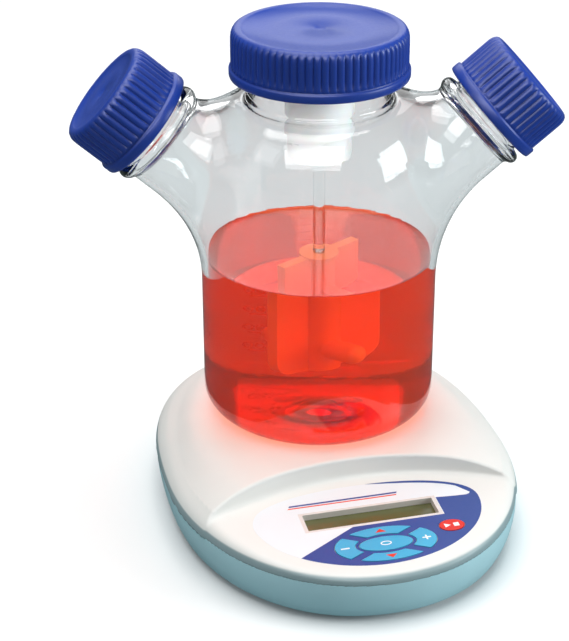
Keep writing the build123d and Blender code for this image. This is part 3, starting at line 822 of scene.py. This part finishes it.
def cover_form(points, wall):
    """Outer form of the cover, or the hollow inside it."""
    dome = steepness(lambda p: dome_field(p, wall), points)
    x, y, z = points.T
    dome = smooth_max(dome, z - SEAT_Z + wall, 4.0)
    u, v, height = panel_uv(points)
    above_panel = height + wall + (panel_recess(u, v) if wall == 0 else 0.0)
    behind_step = STEP_RADIUS + wall - np.hypot(x, y - STEP_Y + STEP_RADIUS)
    behind_step = behind_step + 0.04 * (z - PANEL_Z)
    panel_side = smooth_max(dome, above_panel, 2.6)
    deck_side = smooth_max(dome, behind_step, 1.6)
    return smooth_min(panel_side, deck_side, 2.6)


def cover_wall(points):
    """The moulded cover: outer form less the hollow, open below."""
    shell = smooth_max(cover_form(points, 0.0), -cover_form(points, SHELL_WALL), 0.6)
    u, v, height = panel_uv(points)
    past_side = np.abs(u - DISPLAY_U) - DISPLAY_SIZE[0] / 2
    past_end = np.abs(v) - DISPLAY_SIZE[1] / 2
    window = np.maximum(past_side, past_end) - 0.4
    shell = np.maximum(shell, np.where(height > -8, -window, shell))
    for stem in KEY_STEMS.values():
        hole = STEM_HOLE_RADIUS - np.hypot(u - stem[0], v - stem[1])
        shell = np.maximum(shell, np.where(height > -8, hole, shell))
    return smooth_max(shell, SPLIT_Z + 0.7 - points[:, 2], 0.5)


def make_cover():
    """Top cover with rolled front edge and a softened step."""
    low = (BASE_LOW[0] - 2, BASE_LOW[1] - 2, SPLIT_Z - 1)
    high = (BASE_HIGH[0] + 2, BASE_HIGH[1] + 2, SEAT_Z + 2)
    net_mesh(
        "top_cover_moulding", cover_wall, low, high, COVER_CELL, "base",
        replaced=("top_cover",), slot="cover_cream", material=CREAM,
    )


# ---------------------------------------------------------------- printing on the panel
def on_panel(u, v, height):
    """Point of the part's frame, in millimetres, from panel coordinates."""
    tilt = sqrt(1 + PANEL_SLOPE ** 2)
    return np.array([
        u,
        PANEL_Y + (v - PANEL_SLOPE * height) / tilt,
        PANEL_Z + (PANEL_SLOPE * v + height) / tilt,
    ])


def overlay_point(angle, inset=0.0):
    """Point of the overlay's outline in panel coordinates."""
    behind = sin(angle) > 0
    reach = (OVERLAY_BACK if behind else OVERLAY_FRONT) - inset
    roundness = OVERLAY_ROUNDNESS_BACK if behind else OVERLAY_ROUNDNESS_FRONT
    across = abs(cos(angle) / (OVERLAY_HALF - inset)) ** roundness
    along = abs(sin(angle) / reach) ** roundness
    radius = (across + along) ** (-1 / roundness)
    return radius * cos(angle), OVERLAY_V + radius * sin(angle)


def printed(name, outlines, height, body, material):
    """Flat ink area with crisp edges; outlines after the first are holes in it."""
    curve = bpy.data.curves.new(name, "CURVE")
    curve.dimensions = "2D"
    curve.fill_mode = "BOTH"
    curve.extrude = INK_THICKNESS / 2 * MM
    for outline in outlines:
        spline = curve.splines.new("POLY")
        spline.points.add(len(outline) - 1)
        for point, (u, v) in zip(spline.points, outline):
            point.co = (u * MM, v * MM, 0, 1)
        spline.use_cyclic_u = True
    flat = bpy.data.objects.new(name, curve)
    bpy.context.scene.collection.objects.link(flat)
    bpy.context.view_layer.update()
    mesh = bpy.data.meshes.new_from_object(flat.evaluated_get(bpy.context.evaluated_depsgraph_get()))
    bpy.data.objects.remove(flat)
    mesh.name = name
    slope = Matrix.Rotation(atan2(PANEL_SLOPE, 1), 4, "X")
    mesh.transform(Matrix.Translation(Vector(on_panel(0, 0, height)) * MM) @ slope)
    mesh.materials.clear()
    mesh.materials.append(material)
    piece = bpy.data.objects.new(name, mesh)
    bpy.context.scene.collection.objects.link(piece)
    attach(piece, body)


def ellipse(half_u, half_v, count=64):
    """Closed ellipse about the origin."""
    angles = np.arange(count) * 2 * pi / count
    return [(half_u * cos(a), half_v * sin(a)) for a in angles]


def arc_points(start, end, count, inset):
    """Points along the overlay's outline between two angles in degrees."""
    return [overlay_point(radians(a), inset) for a in np.linspace(start, end, count)]


def top_loop(node, grow):
    """Outline of a key's flat top in panel coordinates, moved outward."""
    mesh = NODES[node].data
    points = np.array([vertex.co for vertex in mesh.vertices]) / MM
    u, v, height = panel_uv(points)
    top = height > height.max() - 0.01
    after = {}
    shared = {}
    spot = [(round(a, 3), round(b, 3)) for a, b in zip(u, v)]
    for face in mesh.polygons:
        corners = [spot[k] for k in face.vertices]
        if all(top[k] for k in face.vertices):
            for a, b in zip(corners, corners[1:] + corners[:1]):
                shared[(a, b)] = shared.get((a, b), 0) + 1
    for a, b in shared:
        if (b, a) not in shared:
            after[a] = b
    loop = [next(iter(after))]
    while after[loop[-1]] != loop[0]:
        loop.append(after[loop[-1]])
    loop = np.array(loop)
    ahead = np.roll(loop, -1, 0) - np.roll(loop, 1, 0)
    outward = np.stack([ahead[:, 1], -ahead[:, 0]], 1)
    outward /= np.maximum(np.hypot(*outward.T), 1e-9)[:, None]
    area = 0.5 * np.sum(loop[:, 0] * np.roll(loop[:, 1], -1) - np.roll(loop[:, 0], -1) * loop[:, 1])
    return [tuple(p) for p in loop + outward * grow * np.sign(area)]


def blue_field():
    """Outline of the blue field: round the overlay's front and right, along its tab, past the display."""
    inset, tab_depth = 0.05, 1.9
    front = arc_points(216.2, 360, 60, inset)
    rear = arc_points(1, 77, 40, inset)
    tab_edge = [
        overlay_point(radians(a), inset + tab_depth * (1 - ((a - 12) / 65) ** 2))
        for a in np.linspace(77, 12, 30)[1:]
    ]
    tab_end = [(50.9, 6.4), (50.2, 5.3), (48.6, 4.7), (44.0, 4.9), (38.0, 5.4), (33.9, 5.8)]
    below_display = [(33.9, -7.7), (-9.9, -7.8)]
    return front + rear + tab_edge + tab_end + below_display


def make_overlay_prints():
    """Blue field and the two stripes on the overlay."""
    holes = [top_loop(name, 0.32) for name in KEY_STEMS]
    printed("overlay_blue_field", [blue_field()] + holes, OVERLAY_INK_HEIGHT, "base", INK_BLUE)
    stripes = (
        ("stripe_blue", 13.9, 0.55, -34.8, 17.0, INK_BLUE),
        ("stripe_red", 12.2, 0.38, -35.6, 16.4, INK_RED),
    )
    for name, v, half, start, end, ink in stripes:
        outline = [(start, v - half), (end, v - half), (end + 0.6, v + half), (start + 0.6, v + half)]
        printed(name, [outline], OVERLAY_INK_HEIGHT, "base", ink)


def marked(name, key, shapes, ink=INK_WHITE):
    """Mark on a key, from outlines around the key's middle."""
    u, v = KEY_STEMS[key]
    outlines = [[(u + a, v + b) for a, b in shape] for shape in shapes]
    printed(name, outlines, KEY_INK_HEIGHT, f"{key}_body", ink)


def make_key_marks():
    """Arrows, minus, plus, ring, play triangle and stop square on the keys."""
    marked("key_up_arrow", "key_up", [[(-2.6, -1.2), (0, 1.3), (2.6, -1.2)]], INK_RED)
    marked("key_down_arrow", "key_down", [[(2.6, 1.2), (0, -1.3), (-2.6, 1.2)]], INK_RED)
    marked("minus_mark", "key_left", [[(-2.0, -0.45), (2.0, -0.45), (2.0, 0.45), (-2.0, 0.45)]])
    plus = [
        (0.4, 0.4), (0.4, 1.7), (-0.4, 1.7), (-0.4, 0.4), (-2.0, 0.4), (-2.0, -0.4),
        (-0.4, -0.4), (-0.4, -1.7), (0.4, -1.7), (0.4, -0.4), (2.0, -0.4), (2.0, 0.4),
    ]
    marked("plus_mark", "key_right", [plus])
    marked("centre_mark", "key_centre", [ellipse(2.6, 1.5), ellipse(2.0, 0.95)])
    marked("start_mark", "key_start_stop", [[(-3.4, -1.5), (-0.6, 0), (-3.4, 1.5)]])
    marked("stop_mark", "key_start_stop", [[(0.8, -1.3), (3.4, -1.3), (3.4, 1.3), (0.8, 1.3)]])


# ---------------------------------------------------------------- lights and camera
def area_light(name, place, target, size, power, color=(1, 1, 1)):
    """Soft box aimed at a point; lengths in metres."""
    data = bpy.data.lights.new(name, "AREA")
    data.shape = "RECTANGLE"
    data.size, data.size_y = size
    data.energy = power
    data.color = color
    lamp = bpy.data.objects.new(name, data)
    lamp.location = place
    lamp.rotation_euler = (Vector(target) - Vector(place)).to_track_quat("-Z", "Y").to_euler()
    bpy.context.scene.collection.objects.link(lamp)
    return lamp


def matte(tree, color):
    """Output of a plain diffuse shader."""
    node = tree.nodes.new("ShaderNodeBsdfDiffuse")
    node.inputs["Color"].default_value = color
    return node.outputs["BSDF"]


def floor_material():
    """White floor to the eye, which sends back only a little cool light on to the object."""
    material, tree, shader = new_material("floor_white")
    cloud = noise(tree, 3.0)
    tint = ramp(tree, cloud.outputs["Fac"], ((0.3, (0.95, 0.95, 0.95, 1)), (0.7, (0.97, 0.97, 0.97, 1))))
    tree.links.new(tint.outputs["Color"], shader.inputs["Base Color"])
    shader.inputs["Roughness"].default_value = 0.9
    shader.inputs["Specular IOR Level"].default_value = 0.1
    shader.inputs["Emission Color"].default_value = (1, 1, 1, 1)
    shader.inputs["Emission Strength"].default_value = 0.02
    path = tree.nodes.new("ShaderNodeLightPath")
    # painted reflection and bounce: reflections see the floor nearly black, rays through glass see it grey and
    # other rays see a cool teal, while the camera sees it white
    behind = matte(tree, (0.30, 0.39, 0.41, 1))
    looks = (
        ("Is Glossy Ray", matte(tree, (0.10, 0.12, 0.12, 1))),
        ("Is Transmission Ray", matte(tree, (0.56, 0.60, 0.61, 1))),
        ("Is Camera Ray", shader.outputs["BSDF"]),
    )
    for ray, look in looks:
        mix = tree.nodes.new("ShaderNodeMixShader")
        tree.links.new(path.outputs[ray], mix.inputs["Fac"])
        tree.links.new(behind, mix.inputs[1])
        tree.links.new(look, mix.inputs[2])
        behind = mix.outputs["Shader"]
    tree.links.new(behind, tree.nodes["Material Output"].inputs["Surface"])
    return material


def make_stage():
    """White floor, even light from all round and soft boxes above and in front."""
    scene = bpy.context.scene
    world = bpy.data.worlds.new("studio")
    scene.world = world
    world.use_nodes = True
    world.node_tree.nodes["Background"].inputs["Color"].default_value = (0.90, 0.97, 1.0, 1)
    world.node_tree.nodes["Background"].inputs["Strength"].default_value = 0.22
    mesh = bpy.data.meshes.new("floor")
    mesh.from_pydata([(-4, -4, 0), (4, -4, 0), (4, 4, 0), (-4, 4, 0)], [], [(0, 1, 2, 3)])
    floor = bpy.data.objects.new("floor", mesh)
    scene.collection.objects.link(floor)
    mesh.materials.append(floor_material())
    middle = (0, 0.02, 0.1)
    area_light("overhead_softbox", (-0.1, 0.16, 1.45), middle, (1.4, 1.2), 20.5, (1, 0.995, 0.985))
    area_light("left_softbox", (-1.2, -0.3, 0.9), middle, (0.6, 0.7), 2)
    area_light("back_softbox", (0.35, 1.35, 0.78), middle, (1.3, 0.7), 4.5)
    area_light("right_fill", (1.35, -0.6, 0.5), middle, (0.8, 0.6), 14, (0.90, 0.98, 1.0))
    card = area_light("front_card", (-0.45, -1.10, 1.15), (0, 0.03, 0.17), (1.6, 0.9), 24)
    card.visible_diffuse = False
    scene.cycles.caustics_refractive = True
    scene.cycles.caustics_reflective = False
    scene.view_settings.view_transform = "Standard"


CAMERA_PLACE = (-0.2012, -0.7202, 0.4738)
CAMERA_ANGLES = (-15.19, 26.17, 0.40)
CAMERA_LENS = 99.88
CAMERA_SHIFT = (-0.0613, -0.0279)


def make_camera():
    """Camera at the height and side that show the panel, the flask and both arms."""
    azimuth, elevation, roll = (radians(angle) for angle in CAMERA_ANGLES)
    back = np.array([sin(azimuth) * cos(elevation), -cos(azimuth) * cos(elevation), sin(elevation)])
    right = np.cross(-back, (0, 0, 1))
    right /= np.linalg.norm(right)
    up = np.cross(right, -back)
    rolled_right = cos(roll) * right + sin(roll) * up
    rolled_up = -sin(roll) * right + cos(roll) * up
    data = bpy.data.cameras.new("camera")
    data.lens = CAMERA_LENS
    data.sensor_width = 36
    data.shift_x, data.shift_y = CAMERA_SHIFT
    data.clip_end = 20
    camera = bpy.data.objects.new("camera", data)
    axes = Matrix((rolled_right, rolled_up, back)).transposed()
    camera.matrix_world = Matrix.Translation(CAMERA_PLACE) @ axes.to_4x4()
    bpy.context.scene.collection.objects.link(camera)
    bpy.context.scene.camera = camera


dress_cad_nodes()
make_flask()
make_scale()
make_caps()
make_cover()
make_overlay_prints()
make_key_marks()
make_stage()
make_camera()
